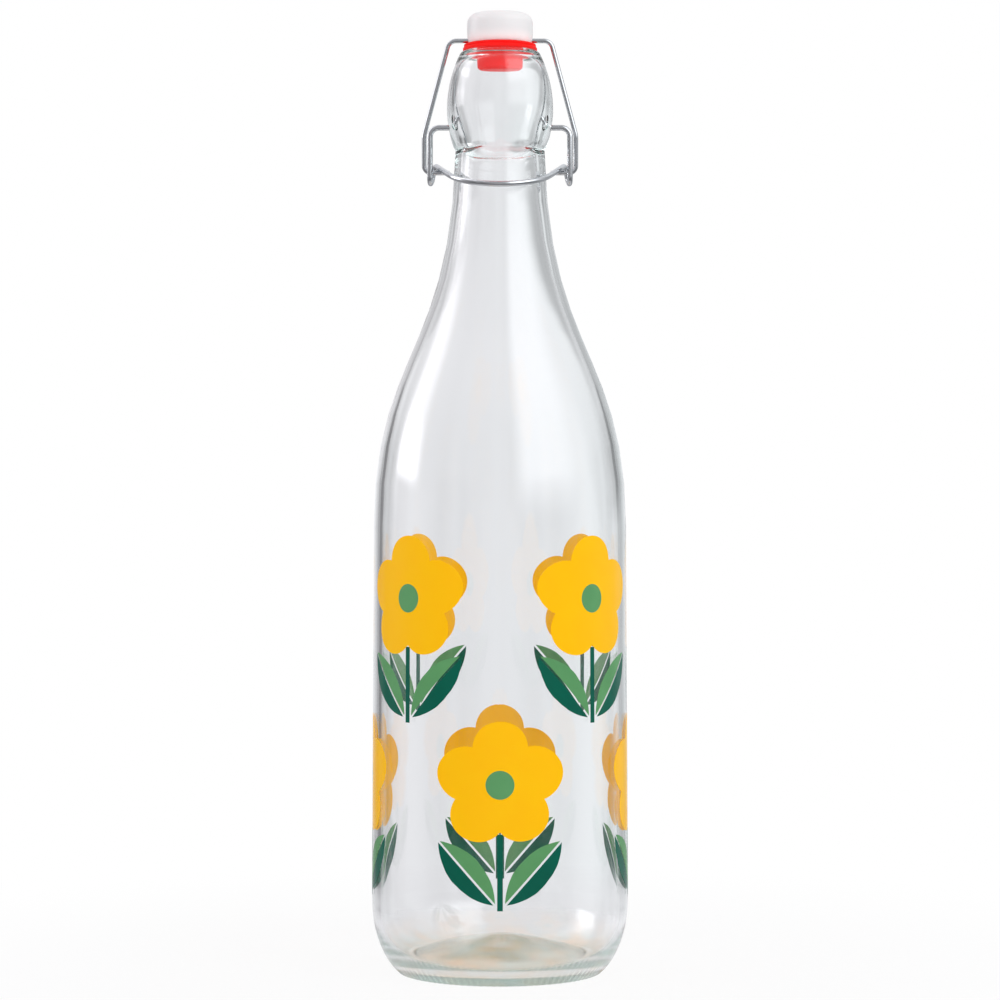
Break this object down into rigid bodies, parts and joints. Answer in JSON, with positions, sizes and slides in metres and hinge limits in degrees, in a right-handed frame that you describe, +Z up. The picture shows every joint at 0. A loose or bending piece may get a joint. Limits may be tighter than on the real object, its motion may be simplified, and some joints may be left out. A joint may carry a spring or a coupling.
{
  "type": "swing top bottle",
  "caption": "Clear round glass bottle with a sloping shoulder and bulbous mouth, closed by a wire bail and locking lever that clamp a plastic stopper and rubber gasket on the rim.",
  "frame": {"origin": "middle of the bearing ring, on the plane the bottle stands on", "axes": "+Z up along the bottle's axis, -Y to the front where the lever's hoop passes the neck, X through the lever's pivots"},
  "size_m": [0.0848, 0.0848, 0.3174],
  "materials": {
    "clear_glass": "clear polished soda-lime glass",
    "steel_wire": "bright drawn wire",
    "white_plastic": "satin translucent white",
    "red_rubber": "smooth moulded rubber",
    "yellow_enamel": "fired-on gloss enamel",
    "deep_green_enamel": "fired-on gloss enamel",
    "light_green_enamel": "fired-on gloss enamel"
  },
  "bodies": {
    "bottle": {"bottle": "clear_glass", "print_yellow": "yellow_enamel", "print_deep_green": "deep_green_enamel", "print_light_green": "light_green_enamel"},
    "lever": {"lever_wire": "steel_wire"},
    "bail": {"bail_wire": "steel_wire"},
    "stopper": {"stopper_head": "white_plastic", "gasket": "red_rubber"}
  },
  "joints": [
    {"name": "lever_swing", "type": "hinge", "parent": "bottle", "child": "lever", "pos_m": [0, 0, 0.2794], "axis": [-1, 0, 0], "range_deg": [0, 105]},
    {"name": "bail_swing", "type": "hinge", "parent": "lever", "child": "bail", "pos_m": [0, 0.002, 0.2646], "axis": [-1, 0, 0], "range_deg": [-72, 0]},
    {"name": "stopper_tilt", "type": "hinge", "parent": "bail", "child": "stopper", "pos_m": [0, 0, 0.3082], "axis": [-1, 0, 0], "range_deg": [-34, 0]}
  ],
  "couplings": [
    {"joint": "bail_swing", "follows": "lever_swing", "ratio": -0.68},
    {"joint": "stopper_tilt", "follows": "lever_swing", "ratio": -0.32}
  ]
}
